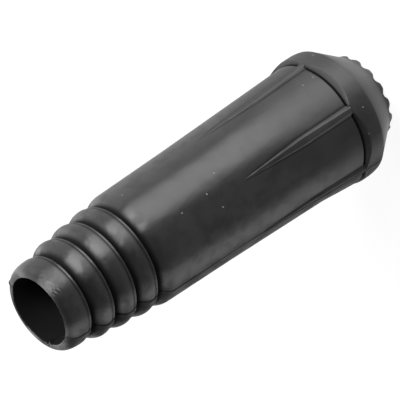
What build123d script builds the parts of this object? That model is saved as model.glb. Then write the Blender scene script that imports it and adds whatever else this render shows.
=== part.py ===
from build123d import *
import os
from math import atan2, cos, degrees, radians, sin, sqrt, tan

# Booted in-line connector for welding cable, of the class for 10 to 25 mm2 copper.
# A moulded rubber boot holds a turned brass contact with a bayonet socket in front
# and a cable bore behind, where two grub screws press a split sleeve on the strands.
#
# It stands on its nose. Z runs up the axis, from the tips of the front teeth to the
# cable mouth, and the origin is on the axis between those tips. The nose and the
# contact are dimensioned from the tips, the ringed tail from the rim of the mouth.
# One of the six ribs lies on +X, in the plane where the two mould halves meet.

# Boot, overall
total_length = 88.25

# Boot, nose: a ring of blunt teeth, a short land, a cone and the collar
tooth_count = 16
tooth_height = 0.5
tooth_outer_radius = 9.75
tooth_wall = 1.3
tooth_turn = -4.5
tooth_root = 0.2
scallop_radius = 2.2
nose_rim_radius = 9.95
nose_land = 0.7
nose_cone_length = 6.35
collar_radius = 14.4
collar_corner_radius = 3.5

# Boot, shoulder: six sloping facets where the collar drops to the panels
rib_count = 6
shoulder_z = 12.2
shoulder_slope = 0.6
panel_head_mid_radius = 13.55
panel_head_corner_radius = 13.85

# Boot, body: round at the back, with six flattened panels towards the collar
panel_length = 34.0
panel_tail_radius = 12.7
body_back_radius = 12.42

# Boot, ribs: narrow spears with sloping flanks, which run from the collar out to a point
rib_width = 1.8
rib_flank_angle = 41.0
rib_head_rise = 0.53
rib_tip_z = 43.0
rib_point_length = 9.0
rib_root = 0.3
rib_foot_depth = 2.0

# Boot, tail: soft rings with a sharp front edge each, and deep narrow grooves
ring_count = 4
ring_pitch = 5.23
first_ring_length = 5.3
first_crest_radius = 9.67
last_crest_radius = 11.85
crest_bow = 0.66
crest_to_edge = 1.6
edge_drop = 0.32
groove_depth = 1.3
groove_draft = 0.12
shoulder_run = 3.8
roll_start = 0.14
roll_end = 0.72
rim_roll_out = 0.72
rim_roll_down = 0.26

# Boot, cable passage
mouth_radius = 7.5
mouth_lip = 0.2
neck_radius = 6.5
mouth_taper_length = 10.0
neck_bottom_z = 54.0
chamber_top_z = 50.0

# Contact: turned brass, with a flange that the boot holds in a groove
contact_front_z = 4.5
contact_length = 41.5
contact_nose_radius = 8.0
barrel_radius = 9.2
flange_radius = 10.6
flange_flat = 9.6
flange_bottom_z = 13.0
flange_thickness = 3.5
contact_chamfer = 0.6
grip_clearance = 0.05
nose_clearance = 0.3

# Contact, bayonet socket for a 9 mm pin with one lug
socket_radius = 4.6
socket_depth = 21.5
keyway_width = 4.4
cam_radius = 6.9
cam_middle_depth = 7.2
cam_rise = 0.8
cam_bottom_depth = 12.5

# Contact, cable bore and its tapped holes
cable_bore_radius = 5.5
cable_bore_depth = 17.5
screw_count = 2
screw_spacing = 7.5
rear_screw_inset = 5.0

# Grub screws, M6 with a 3 mm hexagon socket
screw_radius = 2.95
screw_clearance = 0.05
screw_length = 4.0
screw_hexagon = 3.0
screw_socket_depth = 2.0
screw_chamfer = 0.5
screw_to_boot = 0.3

# Split sleeve that the screws press on the strands
sleeve_radius = 4.0
sleeve_wall = 0.6
sleeve_length = 15.0
sleeve_slit = 1.5
sleeve_clearance = 0.05

# How far a cut runs past the face that it opens
overcut = 1.0

# Sizes and places that follow from those above
contact_rear_z = contact_front_z + contact_length
cable_bore_bottom_z = contact_rear_z - cable_bore_depth
flange_top_z = flange_bottom_z + flange_thickness
nose_bore_radius = contact_nose_radius + nose_clearance
chamber_radius = barrel_radius + grip_clearance
panel_tail_z = shoulder_z + panel_length
cone_top_z = tooth_height + nose_land + nose_cone_length
screw_hole_radius = screw_radius + screw_clearance
screw_face_radius = sqrt(chamber_radius**2 - screw_radius**2) - screw_to_boot
sleeve_shift = cable_bore_radius - sleeve_radius - sleeve_clearance


def turned(outline):
    # A full turn of a closed outline, given as radius and height, about the axis.
    return revolve(make_face(Plane.XZ * outline), Axis.Z)


def ring_crest(index):
    # Crest radii grow along a bowed line from the first ring to the last.
    share = (index / (ring_count - 1)) ** crest_bow
    return first_crest_radius + (last_crest_radius - first_crest_radius) * share


def ring_edge(index):
    # Radius and height of the sharp front edge of one ring.
    height = total_length - first_ring_length - index * ring_pitch
    return ring_crest(index) - edge_drop, height


def groove_floor(index):
    # Bottom corner of the groove that follows one ring.
    return ring_crest(index) - groove_depth, ring_edge(index)[1] - groove_draft


def eased(start, foot, head, end):
    # From start to end through two corners: an arc, a straight slope and an arc.
    # Each arc takes up one end leg, and the same length of the slope.
    slope = (head - foot).normalized()
    leave = foot + slope * (foot - start).length
    arrive = head - slope * (end - head).length
    first = TangentArc(start, leave, tangent=foot - start)
    last = TangentArc(end, arrive, tangent=head - end)
    return [first, Line(leave, arrive), last]


def rolled_crest(floor, crest):
    # A soft S from a groove floor to a crest, along the axis at both of its ends.
    run = floor[1] - crest[1]
    foot = Vector(floor[0], floor[1] - roll_start * run)
    head = Vector(crest[0], floor[1] - roll_end * run)
    return eased(Vector(floor), foot, head, Vector(crest))


def rolled_rim(rim, crest):
    # The mouth's rim starts level and bends down to the first crest.
    foot = Vector(rim[0] + rim_roll_out * (crest[0] - rim[0]), rim[1])
    head = Vector(crest[0], crest[1] + rim_roll_down * (rim[1] - crest[1]))
    return eased(Vector(rim), foot, head, Vector(crest))


def tail():
    # The ringed tail and the round back of the body, as one turned outline.
    rim = (mouth_radius + mouth_lip, total_length)
    crest = (ring_crest(0), ring_edge(0)[1] + crest_to_edge)
    outline = Curve() + rolled_rim(rim, crest)
    for index in range(ring_count):
        edge = ring_edge(index)
        floor = groove_floor(index)
        outline += TangentArc(crest, edge, tangent=(0, -1))
        outline += Line(edge, floor)
        if index + 1 < ring_count:
            crest = (ring_crest(index + 1), ring_edge(index + 1)[1] + crest_to_edge)
            outline += rolled_crest(floor, crest)
    back = (body_back_radius, floor[1] - shoulder_run)
    outline += rolled_crest(floor, back)
    outline += Polyline(back, (panel_tail_radius, panel_tail_z), (0, panel_tail_z), (0, total_length), rim)
    return turned(outline)


def panel_section(height, mid_radius, corner_radius):
    # A closed ring of equal arcs: corners where the ribs stand, flatter in between.
    step = 360 / rib_count
    arcs = []
    for index in range(rib_count):
        points = []
        for radius, turn in ((corner_radius, 0), (mid_radius, step / 2), (corner_radius, step)):
            angle = radians(index * step + turn)
            points.append((radius * cos(angle), radius * sin(angle), height))
        arcs.append(ThreePointArc(*points))
    return make_face(Curve() + arcs)


def panels():
    # The body between the round back and the shoulder, from round to six-sided.
    head = panel_section(shoulder_z, panel_head_mid_radius, panel_head_corner_radius)
    back = panel_section(panel_tail_z, panel_tail_radius, panel_tail_radius)
    return loft([head, back], ruled=True)


def nose():
    # Land, cone and collar. The collar's back edge is cut by one plane facet per panel.
    land_top = (nose_rim_radius, tooth_height + nose_land)
    shoulder = (collar_radius, shoulder_z)
    outline = FilletPolyline(land_top, (collar_radius, cone_top_z), shoulder, radius=collar_corner_radius)
    outline += Polyline(
        shoulder, (0, shoulder_z), (0, tooth_height), (nose_rim_radius, tooth_height), land_top
    )
    wide = panel_head_mid_radius + shoulder_z * shoulder_slope
    faces = []
    for apothem, height in ((wide, 0), (panel_head_mid_radius, shoulder_z)):
        hexagon = RegularPolygon(apothem, rib_count, major_radius=False, rotation=180 / rib_count)
        faces.append(Pos(0, 0, height) * hexagon)
    return turned(outline) & loft(faces, ruled=True)


def corner_radius(height):
    # Radius of the body under a rib, which falls evenly from the shoulder to the round back.
    share = (height - shoulder_z) / panel_length
    return panel_head_corner_radius + (panel_tail_radius - panel_head_corner_radius) * share


def rib_section(height):
    # A rib's outline across the axis: upright in the body, sloping flanks and a level top.
    rise = rib_head_rise * (rib_tip_z - height) / (rib_tip_z - shoulder_z)
    surface = corner_radius(height)
    half = rib_width / 2
    top_half = half - rise * tan(radians(rib_flank_angle))
    side = [(surface - rib_foot_depth, half), (surface, half), (surface + rise, top_half)]
    mirrored = [(x, -y) for x, y in reversed(side)]
    return make_face(Plane.XY.offset(height) * Polyline(*side, *mirrored, close=True))


def rib():
    # One spear on +X: it runs straight from inside the collar, then narrows to a point.
    head = rib_section(shoulder_z - rib_root)
    neck = rib_section(rib_tip_z - rib_point_length)
    tip = Vertex(corner_radius(rib_tip_z), 0, rib_tip_z)
    return loft([head, neck], ruled=True) + loft([neck, tip], ruled=True)


def teeth():
    # The ring on the front face, scalloped by radial scoops so that blunt teeth are left.
    height = tooth_height + tooth_root
    ring = Cylinder(tooth_outer_radius, height) - Cylinder(tooth_outer_radius - tooth_wall, height)
    ring = Pos(0, 0, height / 2) * ring
    scoop = Rot(0, 90, 0) * Cylinder(scallop_radius, 4 * tooth_wall)
    scoop = Pos(tooth_outer_radius, 0, tooth_height - scallop_radius) * scoop
    step = 360 / tooth_count
    for index in range(tooth_count):
        ring -= Rot(0, 0, tooth_turn + (index + 0.5) * step) * scoop
    return ring


def flange(radius, flat, bottom_z, thickness):
    # A disc with two flats on X, so that the contact can't turn in the boot.
    disc = Cylinder(radius, thickness, align=(Align.CENTER, Align.CENTER, Align.MIN))
    block = Box(2 * flat, 2 * radius + overcut, thickness, align=(Align.CENTER, Align.CENTER, Align.MIN))
    return Pos(0, 0, bottom_z) * (disc & block)


def boot():
    # The rubber moulding: outside form less the cable passage and the contact's seat.
    body = tail() + panels() + nose() + teeth()
    for index in range(rib_count):
        body += Rot(0, 0, index * 360 / rib_count) * rib()
    passage = Polyline(
        (0, -overcut),
        (nose_bore_radius, -overcut),
        (nose_bore_radius, contact_front_z),
        (contact_nose_radius + grip_clearance, contact_front_z + nose_clearance),
        (contact_nose_radius + grip_clearance, flange_top_z),
        (chamber_radius, flange_top_z),
        (chamber_radius, chamber_top_z),
        (neck_radius, neck_bottom_z),
        (neck_radius, total_length - mouth_taper_length),
        (mouth_radius, total_length),
        (mouth_radius, total_length + overcut),
        (0, total_length + overcut),
        close=True,
    )
    groove = flange(
        flange_radius + grip_clearance,
        flange_flat + grip_clearance,
        flange_bottom_z,
        flange_thickness + grip_clearance,
    )
    return body - turned(passage) - groove


def bayonet():
    # Pin bore, the slot that lets the lug in, and the undercut that it turns in.
    # The undercut's front wall is a tilted plane, so the lug is drawn in as it turns.
    bore = Pos(0, 0, contact_front_z) * Cylinder(
        socket_radius, socket_depth, align=(Align.CENTER, Align.CENTER, Align.MIN)
    )
    slot = Pos(0, 0, contact_front_z) * Box(
        cam_radius, keyway_width, cam_bottom_depth, align=(Align.MIN, Align.CENTER, Align.MIN)
    )
    ring = Pos(0, 0, contact_front_z) * Cylinder(
        cam_radius, cam_bottom_depth, align=(Align.CENTER, Align.CENTER, Align.MIN)
    )
    tilt = degrees(atan2(cam_rise, cam_radius))
    behind = Pos(0, 0, contact_front_z + cam_middle_depth) * Rot(tilt, 0, 0) * Box(
        4 * cam_radius, 4 * cam_radius, 2 * cam_bottom_depth, align=(Align.CENTER, Align.CENTER, Align.MIN)
    )
    return bore + (slot & ring) + (ring & behind)


def screw_height(index):
    # Height of one screw's axis, counted from the rear of the contact.
    return contact_rear_z - rear_screw_inset - index * screw_spacing


def contact():
    # Nose, flange and barrel turned in one, then bored, slotted and tapped.
    outline = Polyline(
        (0, contact_front_z),
        (contact_nose_radius - contact_chamfer, contact_front_z),
        (contact_nose_radius, contact_front_z + contact_chamfer),
        (contact_nose_radius, flange_top_z),
        (barrel_radius, flange_top_z),
        (barrel_radius, contact_rear_z - contact_chamfer),
        (barrel_radius - contact_chamfer, contact_rear_z),
        (cable_bore_radius + contact_chamfer, contact_rear_z),
        (cable_bore_radius, contact_rear_z - contact_chamfer),
        (cable_bore_radius, cable_bore_bottom_z),
        (0, cable_bore_bottom_z),
        close=True,
    )
    body = turned(outline) + flange(flange_radius, flange_flat, flange_bottom_z, flange_thickness)
    body -= bayonet()
    lead_in = Cone(
        socket_radius + contact_chamfer,
        socket_radius,
        contact_chamfer,
        align=(Align.CENTER, Align.CENTER, Align.MIN),
    )
    body -= Pos(0, 0, contact_front_z) * lead_in
    hole = Rot(0, 90, 0) * Cylinder(
        screw_hole_radius, 2 * barrel_radius, align=(Align.CENTER, Align.CENTER, Align.MIN)
    )
    for index in range(screw_count):
        body -= Pos(0, 0, screw_height(index)) * hole
    return body


def clamp_screw(index):
    # A grub screw on +X, its socket outwards, just inside the bore that it presses into.
    blank = Cylinder(screw_radius, screw_length, align=(Align.CENTER, Align.CENTER, Align.MIN))
    rims = blank.edges().filter_by(GeomType.CIRCLE)
    shank = chamfer(rims, screw_chamfer)
    hexagon = RegularPolygon(screw_hexagon / 2, 6, major_radius=False)
    socket = extrude(Pos(0, 0, screw_length - screw_socket_depth) * hexagon, screw_socket_depth + overcut)
    upright = shank - socket
    return Pos(screw_face_radius - screw_length, 0, screw_height(index)) * Rot(0, 90, 0) * upright


def cable_sleeve():
    # A rolled tube, open along one side, that stands on the floor of the cable bore
    # and leans on the wall that faces the screws.
    tube = Cylinder(sleeve_radius, sleeve_length, align=(Align.CENTER, Align.CENTER, Align.MIN))
    tube -= Cylinder(
        sleeve_radius - sleeve_wall, sleeve_length, align=(Align.CENTER, Align.CENTER, Align.MIN)
    )
    tube -= Box(
        sleeve_slit, 2 * sleeve_radius, sleeve_length, align=(Align.CENTER, Align.MIN, Align.MIN)
    )
    return Pos(-sleeve_shift, 0, cable_bore_bottom_z) * tube


def main():
    os.makedirs("parts", exist_ok=True)
    pieces = {"boot": boot(), "contact": contact(), "cable_sleeve": cable_sleeve()}
    for index, place in enumerate(("rear", "front")):
        pieces["clamp_screw_" + place] = clamp_screw(index)
    for name, piece in pieces.items():
        piece.label = name
        export_step(piece, os.path.join("parts", name + ".step"))


main()
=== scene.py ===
import bpy
import math
import numpy as np
from mathutils import Matrix, Vector


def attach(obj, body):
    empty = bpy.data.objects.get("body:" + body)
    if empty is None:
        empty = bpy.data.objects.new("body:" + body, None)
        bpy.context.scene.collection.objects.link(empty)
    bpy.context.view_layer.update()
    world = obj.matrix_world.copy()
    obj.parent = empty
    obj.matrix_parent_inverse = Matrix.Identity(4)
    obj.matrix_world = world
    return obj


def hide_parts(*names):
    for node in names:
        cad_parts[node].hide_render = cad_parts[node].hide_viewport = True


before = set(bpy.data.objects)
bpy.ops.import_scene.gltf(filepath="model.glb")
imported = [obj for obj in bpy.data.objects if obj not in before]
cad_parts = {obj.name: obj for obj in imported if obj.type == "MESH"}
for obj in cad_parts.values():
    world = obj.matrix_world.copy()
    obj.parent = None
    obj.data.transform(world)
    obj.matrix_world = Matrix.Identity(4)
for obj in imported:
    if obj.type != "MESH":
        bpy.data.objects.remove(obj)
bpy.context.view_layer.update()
mm = 0.001
print("frame: loaded", len(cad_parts), "nodes")


# Shader helpers: a wrapped socket does maths, and one method makes any other node

class Value:
    # wraps a node's output, so that + - and * on numbers add Math nodes
    def __init__(self, shader, socket):
        self.shader = shader
        self.socket = socket

    def maths(self, operation, *others, clamp=False):
        settings = {"operation": operation, "use_clamp": clamp}
        return self.shader.node("Math", settings, dict(enumerate((self,) + others)))

    def __add__(self, other):
        return self.maths("ADD", other)

    def __mul__(self, other):
        return self.maths("MULTIPLY", other)

    def __sub__(self, other):
        return self.maths("SUBTRACT", other)

    def __rsub__(self, other):
        return self.shader.node("Math", {"operation": "SUBTRACT"}, {0: other, 1: self})

    __radd__ = __add__
    __rmul__ = __mul__

    def clamped(self):
        # cut off under 0 and over 1
        return self.maths("ADD", 0.0, clamp=True)

    def step(self, low, high):
        # 0 at low, 1 at high, and a smooth ramp between them
        settings = {"clamp": True, "interpolation_type": "SMOOTHSTEP"}
        inputs = {"Value": self, "From Min": low, "From Max": high}
        return self.shader.node("MapRange", settings, inputs)


class Shader:
    # one material; node() takes a type, its settings and the values or links of its sockets
    def __init__(self, name):
        self.material = bpy.data.materials.new(name)
        self.material.use_nodes = True
        self.tree = self.material.node_tree
        self.tree.nodes.clear()
        self.place = self.node("TexCoord", {}, {}, "Object")

    def node(self, kind, settings, inputs, output=0):
        made = self.tree.nodes.new("ShaderNode" + kind)
        for name, value in settings.items():
            setattr(made, name, value)
        for name, value in inputs.items():
            if isinstance(value, Value):
                self.tree.links.new(value.socket, made.inputs[name])
            else:
                made.inputs[name].default_value = value
        if made.outputs:
            return Value(self, made.outputs[output])

    def scaled(self, sizes):
        # object position times one scale for each axis
        return self.node("VectorMath", {"operation": "MULTIPLY"}, {0: self.place, 1: sizes})

    def noise(self, scale, detail, rough, place=None):
        inputs = {"Scale": scale, "Detail": detail, "Roughness": rough}
        return self.node("TexNoise", {}, {"Vector": place or self.place, **inputs})

    def attribute(self, name):
        return self.node("Attribute", {"attribute_name": name}, {}, "Fac")

    def distance(self, point):
        # how far the surface is from a point, both in mm
        inputs = {0: self.place, 1: tuple(c * mm for c in point)}
        return self.node("VectorMath", {"operation": "DISTANCE"}, inputs, "Value") * (1 / mm)

    def near(self, point, inner, outer):
        # 1 within inner mm of a point, 0 beyond outer mm
        return 1.0 - self.distance(point).step(inner, outer)

    def blend(self, share, first, second):
        # mixes two colours by a share from 0 to 1; 6, 7 and output 2 are the node's colours
        return self.node("Mix", {"data_type": "RGBA"}, {0: share, 6: first, 7: second}, 2)

    def bump(self, height, strength, reach):
        inputs = {"Height": height, "Strength": strength, "Distance": reach * mm}
        return self.node("Bump", {}, inputs)

    def surface(self, **inputs):
        # the Principled shader; keywords are socket names with _ for spaces
        sockets = {name.replace("_", " "): value for name, value in inputs.items()}
        return self.node("BsdfPrincipled", {}, sockets)

    def finish(self, shader):
        self.node("OutputMaterial", {}, {"Surface": shader})
        return self.material


def grey(level):
    return (level, level, level, 1.0)


# Mesh helpers

def gridMesh(name, x, y, z, closed, crease):
    # A surface over a grid of rows and columns: columns always close into a ring, and
    # rows close too where closed is true. Without that, each end ring is filled. Edges
    # that turn by more than crease degrees stay sharp, and the rest is shaded smooth.
    # Rows run down the outside and columns run round anticlockwise, seen from the top.
    rows, columns = x.shape
    points = np.stack([x, y, z], -1).reshape(-1, 3) * mm
    count = rows if closed else rows - 1
    row = np.arange(count)[:, None]
    column = np.arange(columns)[None, :]
    after = (column + 1) % columns
    below = (row + 1) % rows
    corners = [row * columns + column, below * columns + column,
               below * columns + after, row * columns + after]
    faces = np.stack(corners, -1).reshape(-1, 4).tolist()
    if not closed:
        faces.append(list(range(columns)))
        faces.append(list(range(rows * columns - 1, (rows - 1) * columns - 1, -1)))
    mesh = bpy.data.meshes.new(name)
    mesh.from_pydata(points.tolist(), [], faces)
    mesh.update()
    mesh.polygons.foreach_set("use_smooth", np.ones(len(faces), bool))
    mesh.set_sharp_from_angle(angle=math.radians(crease))
    piece = bpy.data.objects.new(name, mesh)
    bpy.context.scene.collection.objects.link(piece)
    return piece


def store(piece, name, values):
    # keeps one number for each vertex, for a material to read by name
    attribute = piece.data.attributes.new(name, "FLOAT", "POINT")
    attribute.data.foreach_set("value", values.reshape(-1).astype(np.float32))


def spaced(start, end, count):
    # count values evenly from start to end, without start itself
    return np.linspace(start, end, count + 1)[1:]


def bezier(start, leave, arrive, end, count):
    # (1-t)^3 start + 3(1-t)^2 t leave + 3(1-t) t^2 arrive + t^3 end, without its first point
    t = spaced(0, 1, count)[:, None]
    corners = [np.array(p, float) for p in (start, leave, arrive, end)]
    weights = ((1 - t) ** 3, 3 * (1 - t) ** 2 * t, 3 * (1 - t) * t ** 2, t ** 3)
    return sum(w * p for w, p in zip(weights, corners))


def smoothStep(values, low, high):
    # t^2 (3 - 2t), where t runs from 0 at low to 1 at high
    t = np.clip((values - low) / (high - low), 0, 1)
    return t * t * (3 - 2 * t)


def plateau(values, rise, top, fall, foot):
    # a smooth step up from rise to top, times one down from fall to foot
    return smoothStep(values, rise, top) * (1 - smoothStep(values, fall, foot))


def softMin(a, b, width):
    # b + (a - b) h - width h (1 - h): the smaller of two, rounded where they meet
    h = np.clip(0.5 + 0.5 * (b - a) / width, 0, 1)
    return b + (a - b) * h - width * h * (1 - h)


# The rubber boot: one closed surface, radius as a function of height and turn.
# Lengths are in mm, heights go up from the tips of the teeth, and angles are in degrees.

boot = {
    # the mouth's lip: out from its radius and up from the end, the last where the curve starts
    "length": 88.25, "mouthRadius": 7.5, "lipHandle": 0.7,
    "lipRows": ((0.03, -0.05), (0.08, 0), (0.18, 0), (0.2, -0.02)),
    # the rings, and how far each one's crease, bead, edge and groove lie in from the crest
    # and up from the edge
    "ringCount": 4, "ringPitch": 5.23, "firstRing": 5.3,
    "firstCrest": 9.67, "lastCrest": 11.85, "crestBow": 0.66, "crestToEdge": 1.6,
    "edgeRows": ((0.32, 0.5), (0.31, 0.42), (0.26, 0.3), (0.25, 0.2),
                 (0.27, 0.08), (0.34, 0), (0.85, -0.04), (1.36, -0.12)),
    # handles of the curves up to a crest, as shares of the drop, and down to a crease, in mm
    "slopeHandles": (0.36, 0.44), "creaseHandles": (0.55, 0.25, 0.45),
    "mouthRows": 16, "slopeRows": 14, "creaseRows": 8, "shoulderRows": 15, "backRows": 8,
    # the round back of the body, and the panels between there and the collar
    "backRadius": 12.42, "shoulderRun": 3.8, "panelBack": 46.2, "panelBackRadius": 12.7,
    "panelHead": 12.2, "panelMid": 13.55, "panelCurve": 16.19,
    "panelSplit": 34, "panelRows": (25, 11),       # rows above and below the split
    # the ribs: half width, height of the point, length of the taper, radius of the top at
    # the panel's head and at the point, slope of the flanks, rounding, half width in degrees
    "ribCount": 6, "ribHalf": 1.1, "ribTip": 43.0, "ribPoint": 18.0,
    "ribTop": (14.38, 12.78), "ribSlope": 0.74, "ribSoft": 0.05, "ribHalfTurn": 4,
    # a faint line along each rib's foot
    "footOut": 0.12, "footWidth": 0.2, "footDepth": 0.04, "footFade": (0.5, 6),
    # each panel's end bows out to the collar, with a groove just over it, whose rows give
    # height over the end and share of the depth
    "headBow": 0.35, "bowedRun": 4, "bowedRows": (0.25, 0.5, 0.7, 0.85, 0.95, 1.0),
    "headGroove": 0.36, "grooveFrom": 0.6, "grooveFade": (0.05, 0.3),
    "grooveRows": ((0.52, 0.1), (0.36, 0.7), (0.16, 1.0), (-0.06, 1.0)),
    # the facets behind the collar, and the collar's round side
    "facetFrom": 0.1, "facetWidth": 1.05, "facetCut": 0.05,
    "facetRows": (0.0, 0.05, 0.2, 0.4, 0.6, 0.8, 1.0),
    "collarRadius": 14.4, "collarRound": 8.0, "collarFrom": 9.2, "collarTurn": 13.0,
    "collarRows": (0.04, 0.15, 0.4, 0.7), "roundRows": 9,
    # the cone, and the rim: out from its radius and height, the first where the cone ends
    "coneRows": (0.012, 0.03, 0.08, 0.3, 0.55, 0.8, 0.95), "rimRadius": 9.47,
    "rimRows": ((0.12, 1.17), (0.04, 1.05), (0, 0.85), (0, 0.82), (-0.03, 0.73), (-0.1, 0.7)),
    "toothCount": 16, "toothTurn": -7.0, "toothOuter": 9.3, "toothInner": 8.45,
    "toothEase": 0.06, "toothRows": (0.3, 0.8), "scoopHalf": 1.45, "scoopGap": 0.02,
    # inside: recess and seat, the groove for the contact's flange, and from the chamber up
    "seatRows": ((8.3, 0.72), (8.3, 4.5), (8.05, 4.8), (8.05, 12.99)),
    "flangeRadius": 10.65, "flangeFlat": 9.65, "flangeHeights": (13.0, 16.55),
    "boreRows": ((9.25, 16.56), (9.25, 30), (9.25, 50), (6.5, 54), (6.5, 66), (6.5, 78.25),
                 (6.7, 80.25), (6.95, 82.75), (7.2, 85.25), (7.46, 87.95), (7.49, 88.12)),
    # columns: offsets from a rib's middle over the seam, then over the rib, then how many
    # on the panel and how they crowd towards the rib
    "columnRadius": 13.8, "seamColumns": (0, 0.06, 0.12, 0.18, 0.25),
    "ribColumns": (0.33, 1.3, 12), "panelColumns": 15, "panelCrowding": (0.65, 1.6),
    "leastSqueeze": 0.3, "columnBlend": 12,
    # where the mould halves meet: half the groove's width at some heights, how far it wanders
    # round the boot, and its depth
    "seamHeights": (0, 48, 56, 63.6, 66, 70.5, 74.4, 79, 81.7, 85, 88.25),
    "seamHalves": (0.15, 0.16, 0.16, 0.17, 0.2, 0.24, 0.26, 0.4, 0.3, 0.24, 0.2),
    "seamTurns": (0, -0.5, -1.3, -1.4, 0.5, 2.0, 1.0, 0.6, 0.3, 1.5, 2.7),
    "seamRadius": 11.5, "seamDepth": 0.22, "wanderFade": (1, 5),
    # one mould half stands lower at the tail, over a span across the seam and one along it
    "tailStep": 0.1, "stepAcross": (0, 0.1, 2, 9), "stepAlong": (48, 60, 85.25, 87.75),
    # and the other half swells out where one seam meets the collar
    "swellHeights": (10.8, 12.6, 15, 21), "swells": (0, 0.5, 0.4, 0),
    "swellAcross": (0, 1.5, 4.5, 8), "swellTurn": 180, "swellSpan": 60,
    # the lip's flaws: turn and width in degrees, then changes of height and radius, for the
    # nib of radius alone
    "lipDepth": 1.2, "lipWidth": 0.6, "nib": (0, 1.6, 0.55),
    "tears": ((117.5, 2.4, -0.7, 0.3), (123, 1.6, -0.2, -0.5)),
    # painted shade, as shares of a dark, dull shader where shade falls: the ribs' feet, inside
    # from just under the lip, below each ring's edge, over its crease, and rows round the panels'
    # ends
    "footShade": 0.6, "mouthFade": 0.15, "underEdge": (0.02, 1.05, 1.95),
    "creaseShade": 0.7, "creaseSpan": (0.35, 0.5, 0.6, 1.3), "endFade": 0.2,
    "endShades": (0.1, 0.8, 1.0, 1.0, 1.0, 0.8, 0.5, 0.45, 0.4, 0.35, 0.2),
    # and shares of a film on the nose, over rows of the cone, then the rim and the teeth
    "coneCoats": (0.1, 0.12, 0.16, 0.3, 0.5, 0.6, 0.6), "rimCoat": 0.5,
    "creaseAngle": 26,
}
halfTurn = 180 / boot["ribCount"]                          # from a rib to the middle of a panel
halfSpan = math.radians(halfTurn) * boot["columnRadius"]   # the same in mm


def halfSector():
    # offsets in mm from the middle of a rib to the middle of a panel, finest at the seam and
    # the rib, then start + (end - start) * ((1 - share) t + share t^power) over the panel
    start, (share, power) = boot["ribColumns"][1], boot["panelCrowding"]
    t = spaced(0, 1, boot["panelColumns"])
    panel = start + (halfSpan - start) * ((1 - share) * t + share * t ** power)
    return np.concatenate([boot["seamColumns"], np.linspace(*boot["ribColumns"]), panel])


def columnGrid():
    # each column's nearest rib in degrees and its signed offset from that rib in mm
    half = list(halfSector())
    ribs, offsets = [], []
    for rib in range(boot["ribCount"]):
        ribs += [rib * 2 * halfTurn] * len(half) + [(rib + 1) * 2 * halfTurn] * (len(half) - 2)
        offsets += half + [-offset for offset in half[-2:0:-1]]
    return np.array(ribs), np.array(offsets)


def ribHalfWidth(z):
    # full from the collar, then narrowing evenly to the point
    return boot["ribHalf"] * np.clip((boot["ribTip"] - z) / boot["ribPoint"], 0, 1)


def warpedOffset(offset, z):
    # squeezes a rib's columns together as the rib narrows, and spreads the panel's evenly
    inner, outer = boot["seamColumns"][-1], boot["ribColumns"][1]
    size = np.abs(offset)
    squeeze = np.maximum(ribHalfWidth(z) / boot["ribHalf"], boot["leastSqueeze"])
    edge = inner + (outer - inner) * squeeze
    narrow = inner + (size - inner) * squeeze
    wide = edge + (size - outer) * (halfSpan - edge) / (halfSpan - outer)
    return np.sign(offset) * np.where(size < inner, size, np.where(size < outer, narrow, wide))


def panelRadius(turn, z):
    # at the head root(curve^2 - (shift sin a)^2) - shift cos a, a circle about a point beyond
    # the axis, where a is the angle from the panel's middle; from there evenly to a plain circle
    a = np.radians(halfTurn - np.abs(turn))
    shift = boot["panelCurve"] - boot["panelMid"]
    head = -shift * np.cos(a) + np.sqrt(boot["panelCurve"] ** 2 - (shift * np.sin(a)) ** 2)
    share = np.clip((z - boot["panelHead"]) / (boot["panelBack"] - boot["panelHead"]), 0, 1)
    return head + (boot["panelBackRadius"] - head) * share


def ribRise(offset, z, panel):
    # height over the panel: the smaller of a level crown, whose top sinks evenly to the point,
    # and a flank, (half width - distance from the middle) * slope
    share = (z - boot["panelHead"]) / (boot["ribTip"] - boot["panelHead"])
    atHead, atPoint = boot["ribTop"]
    crown = np.maximum(atHead + (atPoint - atHead) * share - panel, 0)
    flank = (ribHalfWidth(z) - np.abs(offset)) * boot["ribSlope"]
    rise = softMin(crown, flank, boot["ribSoft"])
    return np.maximum(rise, 0) * (z < boot["ribTip"])


def ribFoot(offset, z):
    # exp(-(distance from the foot's line / width)^2), fading out at the rib's point
    away = np.abs(offset) - ribHalfWidth(z) - boot["footOut"]
    fade = smoothStep(boot["ribTip"] - z, *boot["footFade"])
    return np.exp(-(away / boot["footWidth"]) ** 2) * fade


def ringEdge(ring):
    # height of a ring's front edge, counted from the mouth
    return boot["length"] - boot["firstRing"] - ring * boot["ringPitch"]


def slope(start, end, count):
    # a bezier that leaves and arrives along the boot, on handles that are shares of the drop
    drop = start[1] - end[1]
    leave, arrive = boot["slopeHandles"]
    return bezier(start, (start[0], start[1] - leave * drop),
                  (end[0], start[1] - arrive * drop), end, count)


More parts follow.
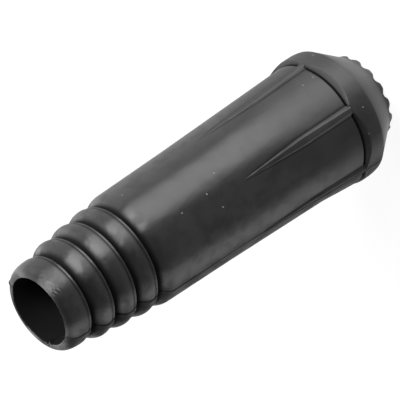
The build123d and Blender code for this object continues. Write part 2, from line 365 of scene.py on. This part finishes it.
def tailProfile():
    # radius and height from the mouth's lip over the rings to the round back: beziers from
    # groove to crest and from crest to crease, and short straight lines over bead and edge
    lip = np.array(boot["lipRows"]) + (boot["mouthRadius"], boot["length"])
    parts, start = [lip[:-1]], lip[-1]
    down, out, up = boot["creaseHandles"]
    for ring in range(boot["ringCount"]):
        share = (ring / (boot["ringCount"] - 1)) ** boot["crestBow"]
        crest = boot["firstCrest"] + (boot["lastCrest"] - boot["firstCrest"]) * share
        edge = ringEdge(ring)
        top = (crest, edge + boot["crestToEdge"])
        if ring == 0:
            leave = (start[0] + boot["lipHandle"] * (crest - start[0]), start[1])
            arrive = (crest, top[1] + boot["lipHandle"] * (start[1] - top[1]))
            parts.append(bezier(start, leave, arrive, top, boot["mouthRows"]))
        else:
            parts.append(slope(start, top, boot["slopeRows"]))
        rows = np.array([[crest - inward, edge + above] for inward, above in boot["edgeRows"]])
        crease = rows[0]
        parts.append(bezier(top, (crest, top[1] - down), (crease[0] + out, crease[1] + up),
                            crease, boot["creaseRows"]))
        parts.append(rows[1:])
        start = rows[-1]
    back = np.array([boot["backRadius"], start[1] - boot["shoulderRun"]])
    parts.append(slope(start, back, boot["shoulderRows"]))
    z = spaced(back[1], boot["panelBack"], boot["backRows"])
    share = (z - boot["panelBack"]) / (back[1] - boot["panelBack"])
    r = boot["panelBackRadius"] + (boot["backRadius"] - boot["panelBackRadius"]) * share
    parts.append(np.stack([r, z], -1))
    return np.concatenate(parts)


def noseProfile():
    # radius and height down the collar's round side, an arc, then the straight cone and the rim
    turns = np.radians(np.linspace(0, boot["collarTurn"], boot["roundRows"]))
    side = np.stack([boot["collarRadius"] - boot["collarRound"] * (1 - np.cos(turns)),
                     boot["collarFrom"] - boot["collarRound"] * np.sin(turns)], -1)
    rim = np.array([[boot["rimRadius"] + out, z] for out, z in boot["rimRows"]])
    cone = side[-1] + (rim[0] - side[-1]) * np.array(boot["coneRows"])[:, None]
    return side, cone, rim[1:]


def bootRows(ribs, offsets):
    # every row's radius, height, turn and rib foot, from the mouth down and back up inside,
    # and the numbers of the rows at which its stretches start
    rows = {"r": [], "z": [], "turn": [], "foot": []}
    starts = {}
    plain = ribs + np.degrees(offsets / boot["columnRadius"])

    def add(r, z, turn=plain, foot=0.0):
        for name, value in zip(rows, (r, z, turn, foot)):
            rows[name].append(np.broadcast_to(value, plain.shape))

    def begin(name):
        starts[name] = len(rows["r"])

    # the tail's columns are plain, and move over to the panels' spacing on the way down
    squeezed = ribs + np.degrees(warpedOffset(offsets, boot["panelBack"]) / boot["columnRadius"])
    for r, z in tailProfile():
        mix = smoothStep(z, boot["panelBack"] + boot["columnBlend"], boot["panelBack"])
        add(r, z, plain + (squeezed - plain) * mix)

    # each panel's end bows towards the collar: head - bow * (1 - share^2), level at the ribs
    begin("panels")
    apart = np.degrees(np.abs(offsets) / boot["columnRadius"])
    share = np.clip((halfTurn - apart) / (halfTurn - boot["ribHalfTurn"]), 0, 1)
    bulge = 1 - share ** 2
    head = boot["panelHead"] - boot["headBow"] * bulge
    near = boot["panelHead"] + boot["bowedRun"]
    far, close = boot["panelRows"]
    level = [*spaced(boot["panelBack"], boot["panelSplit"], far),
             *spaced(boot["panelSplit"], near, close)]
    bowed = [near + (head + boot["grooveFrom"] - near) * t for t in boot["bowedRows"]]
    for z in level + bowed:
        moved = warpedOffset(offsets, z)
        turn = np.degrees(moved / boot["columnRadius"])
        panel = panelRadius(turn, z)
        foot = ribFoot(moved, z)
        add(panel + ribRise(moved, z, panel) - boot["footDepth"] * foot, z, ribs + turn, foot)

    # the groove where the panels meet the collar, left out across the ribs
    begin("groove")
    panel = panelRadius(np.degrees(offsets / boot["columnRadius"]), head)
    rise = ribRise(offsets, head, panel)
    deep = boot["headGroove"] * (1 - smoothStep(rise, *boot["grooveFade"]))
    for up, part in boot["grooveRows"]:
        add(panel + rise - part * deep, head + up)

    # the collar's back edge, cut by one facet for each panel
    top = head - boot["facetFrom"]
    edge = top - boot["facetWidth"] * bulge
    for t in boot["facetRows"]:
        r = panel + (boot["collarRadius"] - panel) * t
        add(r - boot["facetCut"] * (t == 0), top + (edge - top) * t)
    for t in boot["collarRows"]:
        add(boot["collarRadius"], edge + (boot["collarFrom"] - edge) * t)

    side, cone, rim = noseProfile()
    for r, z in side:
        add(r, z)
    begin("cone")
    for r, z in [*cone, *rim]:
        add(r, z)

    # blunt teeth on the front face: a tip's height is (face - gap) * (1 - a smooth step of the
    # distance from a scoop's middle over half its width)
    begin("teeth")
    pitch = 360 / boot["toothCount"]
    away = (plain - boot["toothTurn"]) % pitch - pitch / 2
    across = boot["toothOuter"] * np.sin(np.radians(away))
    face = boot["rimRows"][-1][1]
    tip = (face - boot["scoopGap"]) * (1 - smoothStep(np.abs(across), 0, boot["scoopHalf"]))
    outer, inner, ease = boot["toothOuter"], boot["toothInner"], boot["toothEase"]
    upper, lower = boot["toothRows"]
    sides = ((outer + ease / 2, 0), (outer, upper), (outer, lower), (outer - ease, 1),
             ((outer + inner) / 2, 1), (inner + ease, 1), (inner, lower), (inner, 0))
    for r, down in sides:
        add(r, face + (tip - face) * down)

    # inside; the flange's groove is round with two flats: flat / cos(turn), at most its radius
    begin("inside")
    least = boot["flangeFlat"] / boot["flangeRadius"]
    flange = boot["flangeFlat"] / np.maximum(np.abs(np.cos(np.radians(plain))), least)
    middle = [(flange, z) for z in boot["flangeHeights"]]
    for r, z in [*boot["seatRows"], *middle, *boot["boreRows"]]:
        add(r, z)
    return {name: np.array(values) for name, values in rows.items()}, starts


def seamAway(turn):
    # signed distance in mm round the boot from the nearer of the two mould seams
    return np.radians((turn + 90) % 180 - 90) * boot["seamRadius"]


def seamShare(turn, z):
    # 1 in the middle of a seam's groove, 0 at its sides: a smooth step of 1 - distance / half
    half = np.interp(z, boot["seamHeights"], boot["seamHalves"])
    return smoothStep(1 - np.abs(seamAway(turn)) / half, 0, 1)


def halvesStep(turn, z):
    # how much lower one mould half stands beside a seam, a plateau across it times one along
    # it, less how far the other half swells out near the collar, a plateau on the other side
    away = seamAway(turn)
    step = boot["tailStep"] * plateau(away, *boot["stepAcross"]) * plateau(z, *boot["stepAlong"])
    here = np.abs(turn - boot["swellTurn"]) < boot["swellSpan"]
    swell = np.interp(z, boot["swellHeights"], boot["swells"])
    return step - swell * plateau(-away, *boot["swellAcross"]) * here


def spread(turn, centre, width):
    # a smooth hump round the boot: exp(-(angle / width)^2)
    away = (turn - centre + 180) % 360 - 180
    return np.exp(-(away / width) ** 2)


def shadeMattShare(z, foot, offsets, starts):
    # painted shade: 0 where the rubber keeps its gloss and 1 where it is made dark and dull
    shadeMatt = boot["footShade"] * foot
    inside = starts["inside"]
    shadeMatt[inside:] = smoothStep(boot["length"] - z[inside:], 0, boot["mouthFade"])
    tail = slice(0, starts["panels"])
    start, full, gone = boot["underEdge"]
    for ring in range(boot["ringCount"]):
        above = z[tail] - ringEdge(ring)
        shadeMatt[tail] += (-above > start) * (1 - smoothStep(-above, full, gone))
        shadeMatt[tail] += boot["creaseShade"] * plateau(above, *boot["creaseSpan"])
    # round each panel's end, from the last row on the panel on, but not on the ribs
    rise = ribRise(offsets, boot["panelHead"], boot["columnRadius"])
    onRib = smoothStep(rise, 0, boot["endFade"])
    first = starts["groove"] - 1
    shadeMatt[first:first + len(boot["endShades"])] = np.outer(boot["endShades"], 1 - onRib)
    return np.clip(shadeMatt, 0, 1)


def noseShare(shape, starts):
    # how much of a film lies on each row, from the foot of the collar down to the teeth
    share = np.zeros(shape)
    first = starts["cone"] - 1
    last = first + len(boot["coneCoats"])
    share[first:last] = np.array(boot["coneCoats"])[:, None]
    share[last:starts["inside"]] = boot["rimCoat"]
    return share


def makeBoot():
    # x = r cos(turn), y = r sin(turn) over every row and column
    ribs, offsets = columnGrid()
    rows, starts = bootRows(ribs, offsets)
    r, z, turn = rows["r"], rows["z"], rows["turn"]
    # the seams run over the outside only, from under the lip to the rim
    outside = np.zeros(r.shape)
    outside[len(boot["lipRows"]) - 1:starts["teeth"] - 1] = 1
    seam = seamShare(turn, z) * outside
    wander = np.interp(z, boot["seamHeights"], boot["seamTurns"])
    wander = wander * (1 - smoothStep(np.abs(seamAway(turn)), *boot["wanderFade"]))
    angle = np.radians(turn + wander)
    # no point stands out past the collar, which is as wide as the CAD box
    cut = boot["seamDepth"] * seam + halvesStep(turn, z) * outside
    r = np.minimum(r - cut, boot["collarRadius"])
    # the lip's flaws: torn spots on its inner side where the sprue broke off, and a nib outside
    rim = smoothStep(z, boot["length"] - boot["lipDepth"], boot["length"])
    lip = boot["mouthRadius"] + boot["lipWidth"]
    for centre, width, lift, shift in boot["tears"]:
        hump = spread(turn, centre, width) * rim * (r < lip)
        z = z + lift * hump
        r = r + shift * hump
    centre, width, shift = boot["nib"]
    r = r + shift * spread(turn, centre, width) * rim * (r > lip)
    x, y = r * np.cos(angle), r * np.sin(angle)
    piece = gridMesh("boot_rubber", x, y, z, closed=True, crease=boot["creaseAngle"])
    store(piece, "seam", seam)
    # painted shade: how far each point is made dark and dull, for the material to read
    store(piece, "shadeMatt", shadeMattShare(z, rows["foot"], offsets, starts))
    store(piece, "nose", noseShare(r.shape, starts))
    print("boot:", r.shape, "grid,", 2 * r.size, "triangles")
    return piece


bootPiece = makeBoot()


# Black rubber: glossy, with painted shade that makes grooves, creases, the seam and the mouth's
# inside dark and dull, and marks of use

rubber = {
    "greys": (0.004, 0.008), "seamShadeGrey": 0.002, "seamShade": 0.85,
    # noises: scale, detail and roughness; then the stretches of them that tell
    "cloud": (90.0, 4.0, 0.6), "wave": (330.0, 3.0, 0.55), "grain": (2600.0, 3.0, 0.6),
    "greyRange": (0.3, 0.75), "mottledRange": (0.45, 0.65), "smudgeRange": (0.35, 0.6),
    # roughness of the clean rubber, and what clouds, grain and the rest add to it
    "rough": 0.39, "cloudRough": 0.14, "grainRough": 0.03, "handledRough": 0.28,
    "mottledRough": 0.1, "ringsRough": 0.22, "smudgeRough": 0.25,
    # places in mm, and how far from them a mark is full and gone
    "handled": (3, -20, 8), "handledReach": (14, 30),
    "rings": (0, 0, 77), "ringsReach": (15, 19),
    "smudge": (-11.8, -4.78, 44.93), "smudgeReach": (0.2, 1.3),
    "dustGrey": 0.2, "dustReach": (0.065, 0.156),
    "dust": ((3.02, -13.28, 13.29), (2.79, -13.24, 16.32), (-11.87, -8.16, 10.86),
             (-7.98, -11.98, 9.64), (7.58, -12.23, 8.63), (-2.09, -12.55, 45.46),
             (-8.0, -9.82, 48.07), (-4.93, -11.52, 56.62), (-4.65, -11.75, 49.63),
             (5.7, -11.05, 62.74), (-5.96, -7.33, 83.48)),
    # flow marks by the lip: place and reach of each, and how far in its arcs have their middle
    "ripples": ((1.0, -9.0, 86.9, 1.9), (-1.2, -8.8, 87.3, 1.5), (-3.2, -8.4, 87.2, 1.6)),
    "ripplePitch": 0.36, "rippleIn": 0.72, "rippleFull": 0.3,
    "grainHeight": 0.25, "waveHeight": 3.5, "cloudHeight": 6.0, "rippleHeight": 1.2,
    "bumpStrength": 0.7, "bumpReach": 0.03,
    "ior": 1.6, "drawnOut": 1.0, "drawnTurn": 0.25, "coatRough": 0.4,
    # painted shade: a dark shader without gloss for grooves, creases, the seam and the mouth's
    # inside
    "shadeGrey": 0.003, "shadeRough": 0.9, "shadeShine": 0.05, "seamShadeMix": 0.6,
}


def rubberMaterial():
    s = Shader("black_rubber")
    cloudy = s.noise(*rubber["cloud"])
    wavy = s.noise(*rubber["wave"])
    fine = s.noise(*rubber["grain"])
    seam = s.attribute("seam")
    colour = s.blend(cloudy.step(*rubber["greyRange"]), *(grey(level) for level in rubber["greys"]))
    # painted shade: the seam's groove is darkened in colour
    colour = s.blend(seam * rubber["seamShade"], colour, grey(rubber["seamShadeGrey"]))
    # duller towards the collar on one side, where the boot is handled, and mottled, more so
    # on the rings
    handled = s.near(rubber["handled"], *rubber["handledReach"])
    ringed = s.near(rubber["rings"], *rubber["ringsReach"])
    mottled = wavy.step(*rubber["mottledRange"])
    rough = rubber["rough"] + rubber["cloudRough"] * cloudy + rubber["grainRough"] * fine
    rough = rough + rubber["handledRough"] * handled
    rough = rough + (rubber["mottledRough"] + rubber["ringsRough"] * ringed) * mottled
    # dust: a pale spot round each speck
    for speck in rubber["dust"]:
        colour = s.blend(s.near(speck, *rubber["dustReach"]), colour, grey(rubber["dustGrey"]))
    smudge = s.near(rubber["smudge"], *rubber["smudgeReach"])
    rough = rough + rubber["smudgeRough"] * (smudge * cloudy.step(*rubber["smudgeRange"]))
    # flow marks: sine of distance from a point further in, fading away from each place
    height = rubber["grainHeight"] * fine + rubber["waveHeight"] * wavy
    height = height + rubber["cloudHeight"] * cloudy
    for x, y, z, reach in rubber["ripples"]:
        arc = s.distance((rubber["rippleIn"] * x, rubber["rippleIn"] * y, z))
        wave = (arc * (2 * math.pi / rubber["ripplePitch"])).maths("SINE")
        fade = s.near((x, y, z), rubber["rippleFull"] * reach, reach)
        height = height + rubber["rippleHeight"] * wave * fade
    normal = s.bump(height, rubber["bumpStrength"], rubber["bumpReach"])
    # the gloss is drawn out along the boot, because the mould is polished lengthwise
    gloss = s.surface(Base_Color=colour, Roughness=rough, Normal=normal, IOR=rubber["ior"],
                      Anisotropic=rubber["drawnOut"], Anisotropic_Rotation=rubber["drawnTurn"],
                      Coat_Weight=s.attribute("nose"), Coat_IOR=rubber["ior"],
                      Coat_Roughness=rubber["coatRough"])
    # painted shade: a darker shader without gloss, mixed in over grooves, creases, the seam and the
    # mouth's inside
    darkShade = s.surface(Base_Color=grey(rubber["shadeGrey"]), Roughness=rubber["shadeRough"],
                     Specular_IOR_Level=rubber["shadeShine"])
    share = (s.attribute("shadeMatt") + rubber["seamShadeMix"] * seam).clamped()
    return s.finish(s.node("MixShader", {}, {0: share, 1: gloss, 2: darkShade}))


bootPiece.data.materials.append(rubberMaterial())
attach(bootPiece, "connector")
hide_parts("boot")
print("rubber: done")


# The metal pieces inside: turned, rolled and blackened

finishes = {
    # name, colour, darker colour, roughness, and how close the tool's marks lie on each axis
    "contact": ("turned_brass", (0.62, 0.42, 0.16, 1), (0.45, 0.29, 0.1, 1), 0.28, (60, 60, 9000)),
    "cable_sleeve": ("rolled_copper", (0.62, 0.30, 0.17, 1), (0.4, 0.17, 0.09, 1), 0.35,
                     (400, 400, 3000)),
    "clamp_screw": ("blackened_steel", (0.10, 0.10, 0.105, 1), (0.05, 0.05, 0.05, 1), 0.4,
                    (4000, 90, 90)),
}
metal = {
    "cloud": (160.0, 4.0, 0.6), "lines": (1.0, 3.0, 0.6),     # scale, detail and roughness
    "darkRange": (0.35, 0.7), "lineRough": 0.12, "bumpStrength": 0.15, "bumpReach": 0.02,
}


def metalMaterial(name, colour, dark, roughness, closeness):
    s = Shader(name)
    cloudy = s.noise(*metal["cloud"])
    lines = s.noise(*metal["lines"], s.scaled(closeness))
    tone = s.blend(cloudy.step(*metal["darkRange"]), colour, dark)
    rough = roughness + metal["lineRough"] * lines
    normal = s.bump(lines, metal["bumpStrength"], metal["bumpReach"])
    return s.finish(s.surface(Base_Color=tone, Roughness=rough, Metallic=1.0, Normal=normal))


# Grub screws: a cut helical thread outside, a hexagon socket in the outer end
screw = {
    "crest": 2.94, "root": 2.42, "pitch": 1.0, "crestShare": 0.16, "chamfer": 0.5,
    "length": 4.0, "face": 8.467, "heights": {"rear": 41.0, "front": 33.5},
    "hexagon": 1.5, "socketDepth": 2.0, "leadIn": 0.12, "drill": 1.35, "drillDepth": 2.3,
    "tip": 1.2, "pole": 0.02, "columns": 60, "turnRows": 16, "creaseAngle": 30,
}


def makeScrew(place):
    turn = np.linspace(0, 2 * math.pi, screw["columns"], endpoint=False)
    # thread: root + (crest - root) * a trapezium wave of (height / pitch - turn / full turn)
    count = int(screw["length"] / screw["pitch"] * screw["turnRows"]) + 1
    along = np.linspace(0, screw["length"], count)[:, None]
    wave = np.abs((along / screw["pitch"] - turn / (2 * math.pi)) % 1 - 0.5) * 2
    rise = np.clip((wave - screw["crestShare"]) / (1 - 2 * screw["crestShare"]), 0, 1)
    r = screw["root"] + (screw["crest"] - screw["root"]) * rise
    ends = np.minimum(along, screw["length"] - along)
    r = np.minimum(r, screw["crest"] - screw["chamfer"] + ends)
    # socket: apothem / cos(angle from the middle of a flat), with a small lead-in
    flat = screw["hexagon"] / np.cos((turn + math.pi / 6) % (math.pi / 3) - math.pi / 6)
    top, foot = screw["length"], screw["length"] - screw["socketDepth"]
    rows = [(screw["pole"], 0), (screw["tip"], 0), *zip(r, along),
            (flat + screw["leadIn"], top), (flat, top - screw["leadIn"]), (flat, foot),
            (screw["drill"], foot), (screw["pole"], top - screw["drillDepth"])]
    radius, height = (np.array([np.broadcast_to(row[k], turn.shape) for row in rows])[::-1]
                      for k in (0, 1))
    x = screw["face"] - screw["length"] + height
    y = -radius * np.sin(turn)
    z = screw["heights"][place] + radius * np.cos(turn)
    piece = gridMesh(place + "_grub_screw", x, y, z, closed=False, crease=screw["creaseAngle"])
    piece.data.materials.append(metalMaterial(*finishes["clamp_screw"]))
    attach(piece, place + "_screw")
    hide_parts("clamp_screw_" + place)


for node in ("contact", "cable_sleeve"):
    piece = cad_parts[node]
    piece.data.materials.clear()
    piece.data.materials.append(metalMaterial(*finishes[node]))
for place in screw["heights"]:
    makeScrew(place)
print("metal: contact, sleeve and", len(screw["heights"]), "screws done")


# Camera, floor and lights

view = {
    "place": (-362.489, -778.650, 537.838),    # mm
    "right": (-0.67995, -0.13925, -0.71991),
    "up": (0.63512, -0.60251, -0.48332),
    "back": (-0.36646, -0.78587, 0.49812),
    "lens": 450.0, "sensor": 36.0, "clip": (0.05, 20.0),
}


def makeCamera():
    data = bpy.data.cameras.new("camera")
    data.lens = view["lens"]
    data.sensor_width = view["sensor"]
    data.clip_start, data.clip_end = view["clip"]
    camera = bpy.data.objects.new("camera", data)
    bpy.context.scene.collection.objects.link(camera)
    turn = Matrix((view["right"], view["up"], view["back"])).transposed().to_4x4()
    camera.matrix_world = Matrix.Translation(Vector(view["place"]) * mm) @ turn
    bpy.context.scene.camera = camera


studio = {
    "floor": 3.0, "floorGrey": 0.86, "whiten": 0.93, "world": 0.02,
    "aim": (0, 0, 0.045),    # metres
    # turn about the upright and rise above the floor in degrees, distance, width and height
    # in metres, watts
    "lamps": {
        "key": (-66, 42, 0.8, 0.6, 0.34, 18.4),
        "side": (-6, 24, 0.8, 0.84, 0.34, 4.8),
        "edge": (152, 16, 0.8, 0.45, 0.3, 2.5),
        "back": (48, 22, 0.8, 0.5, 0.4, 3.4),
    },
}


def makeFloor():
    # a pale sheet that is close to white for the camera and in reflections, and takes shadows
    half = studio["floor"]
    mesh = bpy.data.meshes.new("floor")
    corners = [(-half, -half, 0), (half, -half, 0), (half, half, 0), (-half, half, 0)]
    mesh.from_pydata(corners, [], [(0, 1, 2, 3)])
    floor = bpy.data.objects.new("floor", mesh)
    bpy.context.scene.collection.objects.link(floor)
    s = Shader("floor_paper")
    plain = s.node("BsdfDiffuse", {}, {"Color": grey(studio["floorGrey"])})
    white = s.node("Emission", {}, {"Color": grey(1.0), "Strength": 1.0})
    camera, glossy, through = (s.node("LightPath", {}, {}, "Is " + kind + " Ray")
                               for kind in ("Camera", "Glossy", "Transmission"))
    share = (camera + glossy + through).clamped() * studio["whiten"]
    floor.data.materials.append(s.finish(s.node("MixShader", {}, {0: share, 1: plain, 2: white})))


def makeLamps():
    target = Vector(studio["aim"])
    for name, (turn, rise, far, width, height, watts) in studio["lamps"].items():
        data = bpy.data.lights.new(name, "AREA")
        data.shape = "RECTANGLE"
        data.size = width
        data.size_y = height
        data.energy = watts
        lamp = bpy.data.objects.new(name, data)
        bpy.context.scene.collection.objects.link(lamp)
        turn, rise = math.radians(turn), math.radians(rise)
        level = math.cos(rise)
        direction = Vector((level * math.cos(turn), level * math.sin(turn), math.sin(rise)))
        lamp.location = target + direction * far
        lamp.rotation_euler = direction.to_track_quat("Z", "Y").to_euler()
    world = bpy.data.worlds.new("studio")
    world.use_nodes = True
    background = world.node_tree.nodes["Background"]
    background.inputs["Color"].default_value = grey(1.0)
    background.inputs["Strength"].default_value = studio["world"]
    bpy.context.scene.world = world


makeCamera()
makeFloor()
makeLamps()
bpy.context.scene.view_settings.view_transform = "Standard"
print("stage: done")
